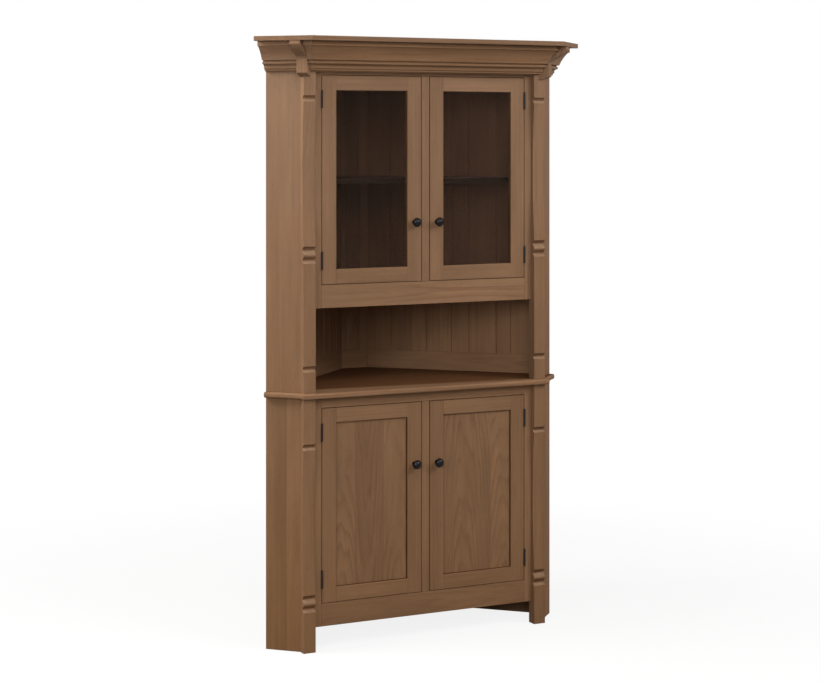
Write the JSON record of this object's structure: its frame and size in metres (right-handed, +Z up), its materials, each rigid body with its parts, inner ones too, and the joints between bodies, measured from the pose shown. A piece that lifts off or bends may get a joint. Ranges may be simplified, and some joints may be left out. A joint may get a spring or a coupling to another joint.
{
  "type": "corner hutch cabinet",
  "caption": "Full-height corner hutch: panelled doors under a counter, an open boarded niche, glazed doors above and a moulded crown on scrolled corbels.",
  "frame": {"origin": "middle of the footprint box, on the floor", "axes": "+Z up, +Y from the doors back into the room corner, +X to the right as seen from the front"},
  "size_m": [1.2726, 0.726, 2.083],
  "materials": {
    "stained_wood": "stained, satin lacquer, fine straight grain",
    "glass": "clear float glass",
    "black_iron": "blackened, satin",
    "catch": "brown, matt"
  },
  "bodies": {
    "cabinet": {"hutch_post_left": "stained_wood", "hutch_post_right": "stained_wood", "hutch_return_left": "stained_wood", "hutch_return_right": "stained_wood", "hutch_back_left": "stained_wood", "hutch_back_right": "stained_wood", "hutch_back_corner": "stained_wood", "hutch_stile_left": "stained_wood", "hutch_stile_right": "stained_wood", "hutch_mullion": "stained_wood", "hutch_top_rail": "stained_wood", "hutch_mid_rail": "stained_wood", "hutch_floor": "stained_wood", "hutch_shelf": "stained_wood", "hutch_shelf_cleats": "stained_wood", "hutch_top_panel": "stained_wood", "hutch_catch": "catch", "crown_backer": "stained_wood", "crown_front": "stained_wood", "crown_left": "stained_wood", "crown_right": "stained_wood", "frieze_front": "stained_wood", "frieze_left": "stained_wood", "frieze_right": "stained_wood", "crown_top_board": "stained_wood", "corbel_left": "stained_wood", "corbel_right": "stained_wood", "base_post_left": "stained_wood", "base_post_right": "stained_wood", "base_return_left": "stained_wood", "base_return_right": "stained_wood", "base_back_left": "stained_wood", "base_back_right": "stained_wood", "base_back_corner": "stained_wood", "base_stile_left": "stained_wood", "base_stile_right": "stained_wood", "base_mullion": "stained_wood", "base_top_rail": "stained_wood", "base_bottom_rail": "stained_wood", "base_floor": "stained_wood", "base_shelf": "stained_wood", "base_shelf_cleats": "stained_wood", "base_catch": "catch", "countertop": "stained_wood", "hinge_frame_leaves": "black_iron"},
    "upper_left_door": {"upper_left_door_frame": "stained_wood", "upper_left_door_glass": "glass", "upper_left_door_beads": "stained_wood", "upper_left_door_fittings": "black_iron"},
    "lower_left_door": {"lower_left_door_frame": "stained_wood", "lower_left_door_panel": "stained_wood", "lower_left_door_fittings": "black_iron"},
    "upper_right_door": {"upper_right_door_frame": "stained_wood", "upper_right_door_glass": "glass", "upper_right_door_beads": "stained_wood", "upper_right_door_fittings": "black_iron"},
    "lower_right_door": {"lower_right_door_frame": "stained_wood", "lower_right_door_panel": "stained_wood", "lower_right_door_fittings": "black_iron"}
  },
  "joints": [
    {"name": "upper_left_door_hinge", "type": "hinge", "parent": "cabinet", "child": "upper_left_door", "pos_m": [-0.3962, -0.24043, 1.5986], "axis": [0, 0, -1], "range_deg": [0, 120]},
    {"name": "upper_right_door_hinge", "type": "hinge", "parent": "cabinet", "child": "upper_right_door", "pos_m": [0.3962, -0.24043, 1.5986], "axis": [0, 0, 1], "range_deg": [0, 120]},
    {"name": "lower_left_door_hinge", "type": "hinge", "parent": "cabinet", "child": "lower_left_door", "pos_m": [-0.3962, -0.24043, 0.49035], "axis": [0, 0, -1], "range_deg": [0, 120]},
    {"name": "lower_right_door_hinge", "type": "hinge", "parent": "cabinet", "child": "lower_right_door", "pos_m": [0.3962, -0.24043, 0.49035], "axis": [0, 0, 1], "range_deg": [0, 120]}
  ]
}
